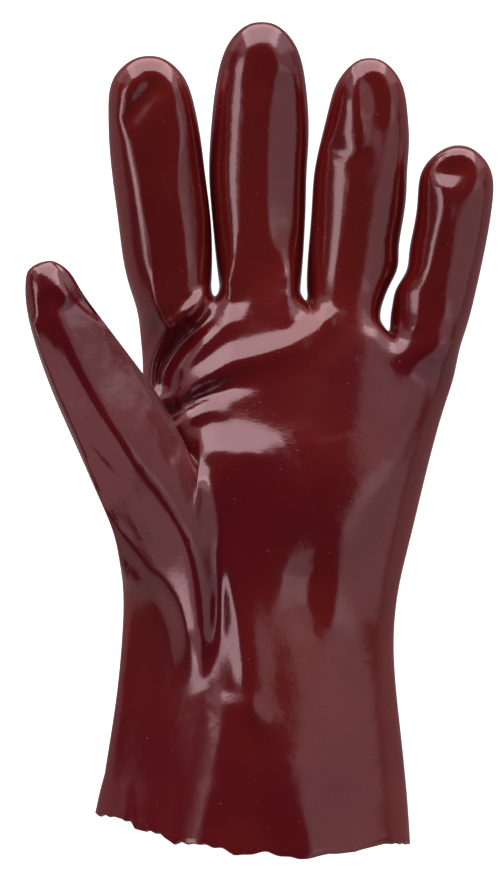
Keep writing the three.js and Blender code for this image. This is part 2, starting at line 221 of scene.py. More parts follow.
def choose_faces(test):
    """Selects the faces whose middle passes the test, in face mode, and goes into edit mode."""
    bpy.context.tool_settings.mesh_select_mode = (False, False, True)
    bpy.ops.object.mode_set(mode="EDIT")
    bpy.ops.mesh.select_all(action="DESELECT")
    bpy.ops.object.mode_set(mode="OBJECT")
    for face in glove.data.polygons:
        face.select = bool(test(face.center))
    bpy.ops.object.mode_set(mode="EDIT")


choose_faces(lambda middle: middle.y < SMALL)
bpy.ops.mesh.delete(type="FACE")
bpy.ops.object.mode_set(mode="OBJECT")
print(len(glove.data.polygons), "faces in the tube, open at the cuff")

# %% [markdown]
# ## Growing the digits
#
# Each digit is extruded from a block of faces: four at a finger's root, twelve for the thumb. Before the
# first extrusion every point of a block is given its spot in it, from -1 to 1 both ways, as two
# attributes of the mesh. Extruding copies attributes along with the points, so every new ring knows its
# spots. A formula bends the square of spots to a disc, so the block's rim becomes a round section.
#
# The tube itself is shaped last, by the same tables, so the blocks can be picked while it is still a box.

# %% Attributes that travel with the points
def attribute(name):
    """The named number at each point of the glove, made when it isn't there yet."""
    found = glove.data.attributes.get(name)
    return found or glove.data.attributes.new(name, "FLOAT", "POINT")


def read(name):
    """The named number at every point of the glove."""
    values = np.zeros(len(glove.data.vertices), np.float32)
    attribute(name).data.foreach_get("value", values)
    return values


def write(name, values):
    """Gives the named number to every point of the glove."""
    attribute(name).data.foreach_set("value", np.asarray(values, np.float32))


def read_points():
    """Where the glove's points are, one row for each."""
    flat = np.zeros(len(glove.data.vertices) * 3, np.float32)
    glove.data.vertices.foreach_get("co", flat)
    return flat.reshape(-1, 3).astype(float)


def write_points(points):
    """Moves the glove's points to new places."""
    glove.data.vertices.foreach_set("co", np.asarray(points, np.float32).ravel())
    glove.data.update()


box_points = read_points()
column_of = np.argmin(abs(box_points[:, :1] - np.array(COLUMN_X)), axis=1)
row_of = np.rint(box_points[:, 1]).astype(int)
level_of = np.rint(box_points[:, 2]).astype(int)
write("column", column_of)
write("row", row_of)
write("level", level_of)
write("digit", np.zeros(len(box_points)))
print("columns", column_of.min(), column_of.max(), "rows", row_of.min(), row_of.max())

# %% Where a ring of spots goes
def unit(vector):
    return vector / np.linalg.norm(vector)


def ring_points(rings, i, start, s, t):
    """Places the spots (s, t) of ring i round its centre, square to the way the digit runs."""
    ring = rings[i]
    centre = np.array([ring["x"], ring["y"], ring["z"]])
    before = start if i == 0 else np.array([rings[i - 1][axis] for axis in "xyz"])
    after_ring = rings[min(i + 1, len(rings) - 1)]
    after = np.array([after_ring[axis] for axis in "xyz"])
    along = unit(after - before)
    lean = math.radians(ring.get("lean", 0))
    across = np.array([math.cos(lean), 0, math.sin(lean)])
    u = unit(across - along * across.dot(along))
    v = np.cross(along, u)
    a = s * np.sqrt(1 - t * t / 2)
    b = t * np.sqrt(1 - s * s / 2)
    last = i == len(rings) - 1
    crown = (1 - a * a - b * b) * ring["depth"] * TIP_CROWN * last
    return (
        centre
        + np.outer(a * ring["width"] * RING_SWELL / 2, u)
        + np.outer(b * ring["depth"] * RING_SWELL / 2, v)
        + np.outer(crown, along)
    )


# %% Where the points of the tube go
def sleeve_point(row, column, level):
    """One point of the tube. Level 1 is the palm, -1 the back and 0 the line between them."""
    finger, side = COLUMNS[column]
    if row == ROW_COUNT:
        middle = (ROOT["back"] + ROOT["front"]) / 2
        if level == 0:
            return finger["x"] + side * finger["width"] / 2, finger["y"], middle
        drawn_in = abs(side) * ROOT["corner"]
        z = ROOT["front"] - drawn_in if level > 0 else ROOT["back"] + drawn_in
        return COLUMN_X[column], COLUMN_Y[column], z
    sizes = SLEEVE[row]
    centre = (sizes["left"] + sizes["right"]) / 2
    half = (sizes["right"] - sizes["left"]) / 2
    middle = sizes["back"] + (sizes["front"] - sizes["back"]) * MIDDLE_SHARE
    y = sizes["y"] + (COLUMN_Y[column] - ROOT_RISE - KNUCKLE_LEVEL) * sizes["fan"]
    if level == 0:
        return centre + (1 if column else -1) * half * SIDE_SWELL, y, middle
    across = 2 * (COLUMN_X[column] - COLUMN_X[0]) / (COLUMN_X[-1] - COLUMN_X[0]) - 1
    x = centre + half * across * CORNER_REACH
    peak, face = (sizes["crest"], sizes["front"]) if level > 0 else (centre, sizes["back"])
    on_left = x < peak
    reach = peak - sizes["left"] if on_left else sizes["right"] - peak
    bow = BACK_BOW if level < 0 else sizes["bow_left" if on_left else "bow_right"]
    rise = (1 - (abs(x - peak) / reach) ** bow) ** (1 / bow)
    return x, y, middle + (face - middle) * rise


# %% Spots in the blocks
tube = np.array([sleeve_point(r, c, l) for r, c, l in zip(row_of, column_of, level_of)])
around_of = np.where(level_of == 0, 0, column_of + 1)  # steps over the thumb's block from its near side
in_thumb = (
    (row_of >= THUMB_ROWS[0])
    & (row_of <= THUMB_ROWS[1])
    & (level_of >= 0)
    & (around_of <= THUMB_COLUMN + 1)
    & ((level_of > 0) | (column_of == 0))
)
spot_s = np.zeros(len(box_points))
spot_t = np.zeros(len(box_points))
spot_s[in_thumb] = 2 * around_of[in_thumb] / (THUMB_COLUMN + 1) - 1
spot_t[in_thumb] = 2 * (row_of[in_thumb] - THUMB_ROWS[0]) / (THUMB_ROWS[1] - THUMB_ROWS[0]) - 1
at_root = row_of == ROW_COUNT
spot_s[at_root] = (column_of[at_root] % 3) - 1
spot_t[at_root] = -level_of[at_root]
write("spot_s", spot_s)
write("spot_t", spot_t)
print(in_thumb.sum(), "points in the thumb's block,", at_root.sum(), "in the roots")

# %% Extruding ring by ring
def grow(digit, number, start):
    """Extrudes the chosen faces once for each ring, and puts each new ring in its place."""
    rings = digit["rings"]
    for i in range(len(rings)):
        bpy.ops.mesh.extrude_region_move(TRANSFORM_OT_translate={"value": (0, 0, 0)})
        bpy.ops.object.mode_set(mode="OBJECT")
        points = read_points()
        fresh = np.zeros(len(points), bool)
        glove.data.vertices.foreach_get("select", fresh)
        points[fresh] = ring_points(rings, i, start, read("spot_s")[fresh], read("spot_t")[fresh])
        write_points(points)
        which = read("digit")
        which[fresh] = number
        write("digit", which)
        bpy.ops.object.mode_set(mode="EDIT")
    bpy.ops.object.mode_set(mode="OBJECT")


for number, finger in enumerate(FINGERS):
    inside = at_root & (column_of // 3 == number)
    low_x, high_x = COLUMN_X[3 * number], COLUMN_X[3 * number + 2]
    choose_faces(lambda middle: abs(middle.y - ROW_COUNT) < SMALL and low_x < middle.x < high_x)
    grow(finger, number + 1, tube[inside].mean(axis=0))
choose_faces(lambda middle: (
    THUMB_ROWS[0] < middle.y < THUMB_ROWS[1]
    and middle.z > SMALL
    and middle.x < COLUMN_X[THUMB_COLUMN]
))
grow(THUMB, len(DIGITS), tube[in_thumb].mean(axis=0))
print(len(glove.data.polygons), "faces with the digits")

# %% Shaping the tube
points = read_points()
on_tube = read("digit") == 0
places = [read(name)[on_tube].astype(int) for name in ("row", "column", "level")]
points[on_tube] = [sleeve_point(*place) for place in zip(*places)]
write_points(points)
for number, digit in enumerate(DIGITS):
    write(digit["name"], read("digit") == number + 1)
print("tube", tube.min(axis=0).round(1), tube.max(axis=0).round(1))

# %% [markdown]
# ## Smoothing
#
# A Subdivision Surface turns the cage into smooth skin. Three levels give faces about a millimetre wide,
# fine enough for the creases of the palm. It also carries the attributes over, so each point still knows
# how much it belongs to the thumb or to a finger.

# %% Subdivision
def apply_modifier(piece, kind, **settings):
    """Adds a modifier to a piece and applies it at once."""
    bpy.ops.object.select_all(action="DESELECT")
    piece.select_set(True)
    bpy.context.view_layer.objects.active = piece
    modifier = piece.modifiers.new(kind.lower(), kind)
    for name, value in settings.items():
        setattr(modifier, name, value)
    bpy.ops.object.modifier_apply(modifier=modifier.name)


LEVELS = 3
bpy.ops.object.mode_set(mode="EDIT")
bpy.ops.mesh.select_all(action="SELECT")
bpy.ops.mesh.normals_make_consistent(inside=False)
bpy.ops.object.mode_set(mode="OBJECT")
apply_modifier(glove, "SUBSURF", levels=LEVELS, render_levels=LEVELS)
print(len(glove.data.polygons), "faces after smoothing")

# %% [markdown]
# ## The cut edge
#
# The cuff was cut by hand, so its edge slants and wanders: long facets on the palm side, a plain slanted
# wave at the back, and a fine tremor all along. The cut moves the lowest part of the sleeve only.

# %% Cutting the cuff
CUT_FRONT = table("x y", [
    (-51.6, 13.2), (-45.5, 12.4), (-42.3, 11.9), (-40.3, 9.0), (-34.5, 8.7), (-27.4, 5.2), (-17.4, 5.2),
    (-7.7, 1.9), (2.9, 2.3), (12.6, 0), (22.9, 1.9), (31.0, 1.3), (40.6, 3.9), (49.0, 3.6),
])
CUT_BACK = {"left": 13.2, "right": 3.6, "wave": 1.2, "waves": 4}
CUT_REACH = 26  # the cut shifts the sleeve up to this height
TREMOR = 0.26  # mm, how far the knife shook
TREMOR_LENGTHS = (6.1, 9.7, 15.3)  # mm, one shake to the next
TREMOR_REACH = 2  # mm above the edge

points = read_points()
front_x = [spot["x"] for spot in CUT_FRONT]
front_y = [spot["y"] for spot in CUT_FRONT]
first_row = SLEEVE[0]
cuff_middle = first_row["back"] + (first_row["front"] - first_row["back"]) * MIDDLE_SHARE
share = np.clip((points[:, 0] - front_x[0]) / (front_x[-1] - front_x[0]), 0, 1)
slant = CUT_BACK["left"] + (CUT_BACK["right"] - CUT_BACK["left"]) * share
back_height = slant + CUT_BACK["wave"] * np.sin(share * CUT_BACK["waves"] * 2 * np.pi)
front_height = np.interp(points[:, 0], front_x, front_y)
height = np.where(points[:, 2] > cuff_middle, front_height, back_height)
tremor = sum(np.sin(2 * np.pi * (points[:, 0] + points[:, 2]) / length) for length in TREMOR_LENGTHS)
height += TREMOR * tremor * np.clip(1 - points[:, 1] / TREMOR_REACH, 0, 1)
points[:, 1] += height * np.clip(1 - points[:, 1] / CUT_REACH, 0, 1)
write_points(points)
print("cut edge from", round(points[:, 1].min(), 1), "mm")

# %% [markdown]
# ## The wall
#
# Solidify gives the skin its thickness on the inside, with a material of its own for the inner wall and
# one for the cut edge. The inner wall's points follow the outer ones in the same order, so both can be
# pressed together afterwards, and a crease never makes the wall cross itself.

# %% Thickness
skin_count = len(glove.data.vertices)
for name in ("skin", "inside", "cut"):
    glove.data.materials.append(bpy.data.materials.new("dipped_" + name))
apply_modifier(
    glove, "SOLIDIFY", thickness=WALL, offset=-1, use_rim=True, material_offset=1, material_offset_rim=2,
)
print(len(glove.data.polygons), "faces with the wall,", skin_count, "points outside")

# %% [markdown]
# ## Folds
#
# Each fold is a stroke, as with a sculpting brush: a path over the palm, how far it lifts the skin at
# evenly spaced places from its start to its end (less than nothing sinks it), and how far it reaches to
# the left and to the right of its direction. A stroke works straight up or down, and only where the skin
# faces up. It works on the thumb or on the hand, never on both.

# %% A stroke
FACING = (0.1, 0.6)  # how squarely the skin faces up where a stroke starts to work, and where it fully does
STROKE_REACH = 3  # widths from the path, beyond which a stroke is too faint to count


def smooth_step(values, low, high):
    t = np.clip((values - low) / (high - low), 0, 1)
    return t * t * (3 - 2 * t)


def smooth_path(corners, step=1.0):
    """A curve through the corners (a Catmull-Rom spline), as points about a step apart."""
    before_first = 2 * np.array(corners[0]) - corners[1]
    after_last = 2 * np.array(corners[-1]) - corners[-2]
    ends = np.array([before_first, *corners, after_last])
    pieces = []
    for a, b, c, d in zip(ends, ends[1:], ends[2:], ends[3:]):
        count = max(2, int(np.linalg.norm(c - b) / step))
        t = np.linspace(0, 1, count, endpoint=False)[:, None]
        curve = 2 * b + (c - a) * t + (2 * a - 5 * b + 4 * c - d) * t**2 + (3 * b - a - 3 * c + d) * t**3
        pieces.append(curve / 2)
    return np.vstack([*pieces, corners[-1]])


def stroke(points, path, lift, left, right):
    """How far each point is lifted. lift holds heights, evenly spaced from the path's start to its end."""
    line = smooth_path(path)
    reach = STROKE_REACH * max(left, right)
    low, high = line.min(axis=0) - reach, line.max(axis=0) + reach
    near = ((points[:, :2] > low) & (points[:, :2] < high)).all(axis=1)
    spots = points[near, :2]
    away = spots[:, None, :] - line[None, :, :]
    nearest = np.argmin((away**2).sum(axis=2), axis=1)
    direction = np.gradient(line, axis=0)[nearest]
    offset = away[np.arange(len(spots)), nearest]
    distance = np.linalg.norm(offset, axis=1)
    on_left = direction[:, 0] * offset[:, 1] - direction[:, 1] * offset[:, 0] > 0
    width = np.where(on_left, left, right)
    place = nearest / (len(line) - 1)
    height = np.interp(place, np.linspace(0, 1, len(lift)), lift)
    result = np.zeros(len(points))
    result[near] = height * np.exp(-((distance / width) ** 2))
    return result


# %% [markdown]
# The thumb of an empty glove isn't round: two flat flanks meet in one crest, and the right flank runs on
# over the ball of the thumb into the palm. A roof is a crest line with a height at each corner and a
# slope on each side. The skin of the thumb is drawn to it, and the palm is filled up to it.

# %% A roof
def nearest_on(line, points):
    """For each point: the nearest place on the line, the distance, and if it is on the line's left."""
    away = points[:, None, :2] - line[None, :, :2]
    nearest = np.argmin((away**2).sum(axis=2), axis=1)
    direction = np.gradient(line[:, :2], axis=0)[nearest]
    offset = away[np.arange(len(points)), nearest]
    on_left = direction[:, 0] * offset[:, 1] - direction[:, 1] * offset[:, 0] > 0
    return nearest, np.linalg.norm(offset, axis=1), on_left


THUMB_RIDGE = table("x y z left_slope right_slope", [
    (-67, 176.5, 68.4, 0.1, 0.35),
    (-64.4, 170.9, 69.0, 0.15, 0.4),
    (-55.7, 152.5, 67.8, 0.4, 0.42),
    (-47.9, 139.6, 66.4, 0.42, 0.44),
    (-40.2, 127.6, 63.8, 0.42, 0.48),
    (-33.1, 118.9, 60.6, 0.42, 0.55),
    (-25.3, 105.9, 56.0, 0.42, 0.7),
    (-21.6, 96, 54.0, 0.42, 0.7),
    (-19.4, 84, 52.4, 0.42, 0.65),
    (-18.6, 73, 51.0, 0.42, 0.6),
    (-18.2, 66, 49.6, 0.42, 0.5),
])
BEND_WIDTH = 14  # mm, how far from the crest a flank still bends
FLANK_BEND = {"left": 0.008, "right": 0.028}  # how strongly each flank curves down from the crest
THUMB_FOOT = [  # where the ball of the thumb stands on the wrist, at its left
    (-60, 128), (-52, 116), (-44.4, 103.4), (-36.3, 93.3), (-30.5, 87.2), (-26.3, 80), (-24.2, 72), (-23, 64),
]
FOOT_SLOPE = 1.5  # how steeply the ball of the thumb falls beyond its foot
CREST_ROUND = 1.2
PALM_LEVEL = {"y": 120, "z": 46.4, "slope": -0.08}  # the palm beside the ball of the thumb
PALM_SKIN = {"facing": 0.7, "share": 0.5, "left": -22}  # faces up, isn't the thumb's, is right of -22 mm
ROOF_AREA = {"right": 0, "low": 55, "floor": 30, "top": 138}  # above its top only the thumb is drawn
ON_THUMB = 0.01  # the least share of the thumb that counts as thumb
DRAWN_FLOOR = 42  # lower skin isn't drawn to the crest
FORK_FLOOR = 36  # nor to the fork below this height
# where each part of the roof fades out and where it works fully, in mm along x or y
PAST_TIP = (6, 0)
FORK_TOP = (124, 120)
FORK_FOOT = (60, 66)
FORK_LEFT = (-36, -32)
FORK_RIGHT = (-6, -10)
BALL_FOOT = (86, 92)


def fade(values, start, end):
    """0 at the start value and 1 at the end value, straight in between."""
    return np.clip((values - start) / (end - start), 0, 1)


ridge = smooth_path([list(spot.values()) for spot in THUMB_RIDGE])
foot = smooth_path(THUMB_FOOT)


def facing_up():
    """How squarely each point of the skin faces up, from 0 to 1."""
    normals = np.zeros(len(glove.data.vertices) * 3, np.float32)
    glove.data.vertices.foreach_get("normal", normals)
    return smooth_step(normals.reshape(-1, 3)[:skin_count, 2], *FACING)


def draw_to_roof():
    """Moves the thumb's skin to the roof, and fills the palm beside it."""
    points = read_points()
    x, y, z = points[:skin_count].T
    thumb = np.clip(read("thumb")[:skin_count], 0, 1)
    in_area = (x < ROOF_AREA["right"]) & (y > ROOF_AREA["low"]) & (z > ROOF_AREA["floor"])
    chosen = np.flatnonzero(in_area & ((y < ROOF_AREA["top"]) | (thumb > ON_THUMB)))
    x, y, z = points[chosen].T
    share, facing = thumb[chosen], facing_up()[chosen]
    # both lines run down the picture, so what is on their left is on the picture's right
    nearest, distance, is_right = nearest_on(ridge, points[chosen])
    past_start = np.where(nearest == 0, distance, 0)
    slope = np.where(is_right, ridge[nearest, 4], ridge[nearest, 3])
    bend = np.where(is_right, FLANK_BEND["right"], FLANK_BEND["left"])
    fall = np.sqrt(distance**2 + CREST_ROUND**2) - CREST_ROUND
    target = ridge[nearest, 2] - slope * fall - bend * np.minimum(fall, BEND_WIDTH)**2
    _, foot_distance, foot_right = nearest_on(foot, points[chosen])
    target -= np.where(foot_right, 0, foot_distance) * (y < THUMB_FOOT[0][1]) * FOOT_SLOPE
    gap = target - z
    below_fork = fade(y, *FORK_TOP)
    on_ball = foot_right * ~is_right * fade(y, *BALL_FOOT) * below_fork
    drawn = np.maximum(share * fade(past_start, *PAST_TIP), on_ball) * (z > DRAWN_FLOOR)
    filled = np.maximum(gap, 0) * facing * below_fork
    move = np.where(gap < 0, gap, gap * facing) * drawn + filled * (1 - drawn)
    # in the fork the walls go too: to the roof, or to the palm's level beside it
    on_palm = (facing > PALM_SKIN["facing"]) & (share < PALM_SKIN["share"]) & (x > PALM_SKIN["left"])
    palm = np.where(on_palm, z, PALM_LEVEL["z"] + (y - PALM_LEVEL["y"]) * PALM_LEVEL["slope"])
    across_fork = is_right * fade(x, *FORK_LEFT) * fade(x, *FORK_RIGHT)
    in_fork = across_fork * below_fork * fade(y, *FORK_FOOT) * (z > FORK_FLOOR)
    move = move * (1 - in_fork) + (np.maximum(target, palm) - z) * in_fork
    points[chosen, 2] += move
    points[chosen + skin_count, 2] += move
    write_points(points)
    print("roof moved the skin from", move.min().round(1), "to", move.max().round(1), "mm")


def choose_points(test):
    """Selects the points that pass the test, in point mode, and goes into edit mode."""
    bpy.context.tool_settings.mesh_select_mode = (True, False, False)
    bpy.ops.object.mode_set(mode="EDIT")
    bpy.ops.mesh.select_all(action="DESELECT")
    bpy.ops.object.mode_set(mode="OBJECT")
    glove.data.vertices.foreach_set("select", np.asarray(test, bool))
    bpy.ops.object.mode_set(mode="EDIT")


def relax(low, high, passes):
    """Smooths the points inside a box, as with a smoothing brush."""
    points = read_points()
    choose_points((points > low).all(axis=1) & (points < high).all(axis=1))
    bpy.ops.mesh.vertices_smooth(factor=0.5, repeat=passes)
    bpy.ops.object.mode_set(mode="OBJECT")


# %% The flanks of the thumb
SOFTENED = {  # the lowest and the highest corner of each box, and how many times its points are smoothed
    "fork": ((-27, 84, 38), (-12, 122, 70), 40),
    "ball": ((-50, 64, 40), (-10, 124, 70), 3),
    "top of the fork": ((-26, 116, 38), (-13, 131, 56), 10),
    "foot of the ridge": ((-28, 50, 40), (-8, 72, 70), 25),
}
draw_to_roof()
relax(*SOFTENED["fork"])
draw_to_roof()
for spot in ("ball", "top of the fork", "foot of the ridge"):
    relax(*SOFTENED[spot])

# %% The folds of the palm
HAND_FOLDS = [
    # the thin crest that runs down the side of the index finger and hooks round under it
    ("index crest", [(-34.5, 187), (-32, 175.5), (-29.5, 171), (-33, 164), (-35, 158), (-34.5, 151),
                     (-31, 149)], (0.5, 2.0, 1.4), 1.9, 1.9),
    ("branch to the crotch", [(-29.5, 171), (-21, 177), (-17, 180), (-11.5, 184)], (1.4, 2.0, 0.8), 2.4, 2.2),
    # the deep hollow between that crest and the band
    ("index hollow", [(-6, 180), (-17.5, 173), (-25.5, 165.5), (-30.5, 157), (-31.5, 151)],
     (-0.6, -3.4, -4.5), 3.0, 3.4),
    ("shelf", [(-9, 172.5), (-15.5, 167.5), (-20.5, 162.5), (-25, 157.5)], (0.3, 0.8, 0.8), 2.8, 2.8),
    # the band that runs from the root of the ring finger down to the thumb
    ("band", [(21, 173), (16, 169), (9.6, 164.8), (-0.7, 161.5), (-8.8, 159.6), (-17.2, 154.2), (-26, 147)],
     (1.8, 1.9, 3.0), 4.5, 3.8),
    ("roots", [(-6, 179), (6, 178)], (0.1, 0.6), 6, 5),
    ("middle root left", [(-7, 200), (-9, 191), (-11, 185), (-12, 180), (-11, 174)],
     (0.3, 1.4, 2.6, 2.2, 0.8), 4, 3.4),
    ("middle root right", [(7, 200), (9.5, 191), (10.5, 185), (10.5, 180), (10, 175)],
     (0.3, 1.6, 3.6, 3.2, 1.2), 3.2, 4.2),
    ("heel hollow", [(-29.5, 141.5), (-23.5, 146), (-16, 149.4), (-6, 151.6), (3, 152.2)],
     (-5.2, -4.2, -2.0, -0.5, 0), 4.2, 2.0),
    ("heel edge", [(-29.5, 138.5), (-23, 140.8), (-17, 143.4), (-12, 143.4)], (1.2, 1.0, 0.4), 2.2, 2.4),
    ("heel", [(-24, 129), (-12, 129.5), (2, 129), (13, 132)], (1.4, 3.0, 0.4), 7.5, 20),
    # the wrist: a ridge that splits from the ball of the thumb, and a hollow on either side of it
    ("wrist ridge", [(-11.5, 97), (-9, 88), (-6.5, 80), (-4.5, 66), (-3, 49)],
     (0.5, 1.3, 1.7, 1.6, 1.0), 6, 3.4),
    ("wrist knot", [(-13, 50), (-4.5, 48.5)], (0.8, 0.9), 3.6, 8),
    ("cuff crease", [(-11.7, 52), (-12.5, 40), (-15.4, 28.5), (-18.5, 17.5), (-21.4, 6), (-23.5, -4)],
     (0.3, 1.1, 0.8, 0.8, 1.0, 1.0), 8, 6),
    ("wrist gap", [(-14, 98), (-13, 84), (-13, 72), (-16, 60)], (-0.6, -1.2, -1.0, -0.3), 2.4, 2.4),
    ("wrist valley", [(18, 102), (17, 92), (16, 82), (17, 68)], (-0.6, -2.2, -2.0, -0.4), 6, 8),
    ("cuff front", [(18, -2), (15, 16), (12, 34)], (1.8, 1.4, 0.2), 9, 9),
]
for name, path, lift, left, right in HAND_FOLDS:
    print(f"{name:22s} {len(path)} corners, lift {lift} mm")

# %% [markdown]
# Empty fingers flatten: each keeps a shoulder on either side of a flatter strip, and the shoulders wander.
# The light draws its streaks along them.

# %% The fingers' shoulders and dents
FINGER_FOLDS = [
    ("index left", [(-39.5, 250), (-43, 244), (-44.2, 236), (-42.2, 228.5), (-39.7, 219), (-37.7, 208.5),
                    (-35.1, 200), (-33, 189), (-31, 178)], (0.8, 0.8, 0.8), 2.5, 4.2),
    ("index right", [(-28, 249.5), (-24.5, 242), (-24, 233), (-26, 223.6), (-27, 216), (-25, 204), (-23, 193),
                     (-21.5, 183)], (0.6, 0.9, 0.4), 3.8, 3.0),
    ("index flat", [(-33, 246), (-33.5, 232), (-31.5, 212), (-29, 190)], (-0.6, -0.8, -0.4), 5, 5),
    ("index dent", [(-41.3, 239.5), (-38, 244), (-34.5, 248)], (-1.8, -2.4, -1.8), 3.7, 3.7),
    ("middle left", [(-3.5, 262), (-3.5, 253), (-4, 243), (-6.3, 237), (-7.2, 220), (-7.6, 205), (-8.6, 194),
                     (-10.5, 187), (-13, 181)], (0.4, 0.5, 0.6), 3, 4.5),
    ("middle right slope", [(7, 248), (8, 230), (7.5, 210), (7, 190)], (-0.7, -1.2, -0.6), 4.5, 4.5),
    ("middle dent", [(-1.5, 245), (1, 256)], (-0.7, -1.0, -0.5), 3, 2.6),
    ("ring left, tip", [(31.4, 252), (31.6, 242), (32.4, 231)], (0.9, 1.3, 0.9), 2, 6),
    ("ring tip dent", [(37, 249), (37.5, 244), (37, 239)], (-1.2, -1.5, -0.8), 3.4, 3.4),
    ("ring left", [(30.5, 222), (29.8, 212), (28, 202), (26, 187), (24, 177)], (0.8, 1.0, 0.9), 3.5, 6),
    ("ring step", [(25, 229), (31, 224.5)], (-1.0, -0.9, -0.4), 2.6, 2.6),
    ("ring right slope", [(40, 246), (39.5, 230), (38, 220)], (-0.4, -0.9, -0.3), 3.8, 3.8),
    ("little end", [(59.5, 226.5), (64, 227), (68.5, 226.5)], (0.8, 1.3, 0.8), 3, 8),
    ("little dent", [(62.2, 221.5), (64.4, 222)], (-2.3, -2.3, -2.3), 4.6, 4.6),
    ("little left", [(60.5, 216), (60.3, 210), (57.5, 199), (54.5, 185), (51.5, 172)],
     (1.0, 0.9, 0.8), 2.2, 3.4),
    ("little right slope", [(68.5, 216), (66.5, 200), (63, 182)], (-0.3, -0.8, -0.4), 4, 4),
]
THUMB_FOLDS = [
    ("thumb crumple", [(-54, 131), (-49, 126), (-44, 120)], (-0.3, -0.5, -0.2), 0.9, 0.9),
    ("thumb crumple below", [(-53, 126.5), (-49.5, 123.5), (-46.5, 119)], (-0.3, -0.4, -0.2), 0.9, 0.9),
    ("collapsed pad", [(-64.4, 187), (-59.9, 180.6), (-56.7, 177.6), (-51, 173.5)],
     (-0.6, -1.6, -1.0), 4.5, 0.9),
]
print(len(FINGER_FOLDS), "folds on the fingers,", len(THUMB_FOLDS), "on the thumb")

# %% Pressing the folds
points = read_points()
outside = points[:skin_count]
facing = facing_up()
thumb_share = np.clip(read("thumb")[:skin_count], 0, 1)
lift_all = np.zeros(skin_count)
for folds, share in ((HAND_FOLDS + FINGER_FOLDS, 1 - thumb_share), (THUMB_FOLDS, thumb_share)):
    for _, path, lift, left, right in folds:
        lift_all += stroke(outside, path, lift, left, right) * share
points[:, 2] += np.concatenate([lift_all * facing] * 2)
write_points(points)
print("pressed from", lift_all.min().round(1), "to", lift_all.max().round(1), "mm")

# %% [markdown]
# ## The outline
#
# Seen from the palm, the real outline wavers: blunt tips, tight crotches between the fingers, a lump
# beside the ring finger. Each grab pulls what lies round one spot sideways, like a grab brush.

# %% Grabs
HAND_GRABS = table("x y pull_x pull_y reach", [
    (-46, 251, -0.9, 0.3, 9),
    (-42, 190, -0.7, 0, 14),
    (-15, 180, 0, 3.2, 5),
    (-14, 221, -0.5, 0, 12),
    (44.5, 250, 0.6, 0.2, 8),
    (27, 250, -0.5, 0, 8),
    (19.5, 221, -0.6, 0, 10),
    (44.3, 190, 1.5, 0, 6),
    (14.7, 177, 0, 3.5, 5),
    (53.5, 222, -1.0, 0, 8),
    (74.8, 222, 0.5, 0, 8),
    (48.5, 183, -2.0, 0, 5),
    (41.5, 168, -1.2, 2.6, 5),
    (43.5, 175, -1.4, 0, 6),
])
THUMB_GRABS = table("x y pull_x pull_y reach", [
    (-61.5, 190, 1.8, 0.6, 7),
])

points = read_points()
before = points.copy()
thumb_share = np.clip(read("thumb"), 0, 1)
for grabs, share in ((HAND_GRABS, 1 - thumb_share), (THUMB_GRABS, thumb_share)):
    for grab in grabs:
        distance = np.hypot(before[:, 0] - grab["x"], before[:, 1] - grab["y"])
        pull = np.exp(-((distance / grab["reach"]) ** 2)) * share
        points[:, 0] += grab["pull_x"] * pull
        points[:, 1] += grab["pull_y"] * pull
write_points(points)
print(len(HAND_GRABS) + len(THUMB_GRABS), "grabs")

# %% [markdown]
# ## Where it rests
#
# The back of the cuff and the back of the knuckles are eased flat by 0.3 mm, as soft plastic lies. Then
# the glove is scaled from millimetres to metres and put where the solid shell is.

# %% Easing the back and placing the glove
REST_EASE = 0.3
MM = 0.001

points = read_points()
points[:skin_count, 2] = np.maximum(points[:skin_count, 2], points[:, 2].min() + REST_EASE)
low, high = points.min(axis=0), points.max(axis=0)
middle = (low + high) / 2
points -= (middle[0], middle[1], low[2])
points *= MM
points += ((cad_low.x + cad_high.x) / 2, (cad_low.y + cad_high.y) / 2, 0)
write_points(points)
for name in ("column", "row", "level", "digit", "spot_s", "spot_t"):
    glove.data.attributes.remove(glove.data.attributes[name])
size = points.max(axis=0) - points.min(axis=0)
print("size", (size * 1000).round(1), "mm")

# %% Smooth shading and the rounded rim
RIM_ROUND = 0.0003  # m

bpy.ops.object.select_all(action="DESELECT")
glove.select_set(True)
bpy.context.view_layer.objects.active = glove
bpy.ops.object.mode_set(mode="EDIT")
bpy.context.tool_settings.mesh_select_mode = (False, True, False)
bpy.ops.mesh.select_all(action="DESELECT")
bpy.ops.object.mode_set(mode="OBJECT")
materials_at = {}
for face in glove.data.polygons:
    for key in face.edge_keys:
        materials_at.setdefault(key, set()).add(face.material_index)
for edge in glove.data.edges:
    edge.select = len(materials_at.get(edge.key, ())) == 2  # where the cut edge meets the skin or the inside
bpy.ops.object.mode_set(mode="EDIT")
bpy.ops.mesh.bevel(offset=RIM_ROUND, segments=2, clamp_overlap=True)
bpy.ops.object.mode_set(mode="OBJECT")
bpy.ops.object.shade_smooth()
print(len(glove.data.polygons), "faces in the finished shell")

# %% [markdown]
# ## Shader sums
#
# Patterns are sums of numbers, so a small class lets them be written as sums. It wraps one output socket,
# and each operator adds the Math node that does it. One method adds any other node.

# %% A class for shader sums
class Value:
    """A number, colour or vector that comes out of a node."""

    def __init__(self, tree, socket):
        self.tree = tree
        self.socket = socket

    def math(self, operation, other):
        return node(self.tree, "Math", {0: self, 1: other}, operation=operation)

    def __add__(self, other):
        return self.math("ADD", other)

    def __mul__(self, other):
        return self.math("MULTIPLY", other)

    def clamp(self, low, high):
        """0 where the value is under low, 1 where it is over high, and smooth between them."""
        inputs = {"Value": self, "From Min": low, "From Max": high}
        return node(self.tree, "MapRange", inputs, interpolation_type="SMOOTHSTEP", clamp=True)


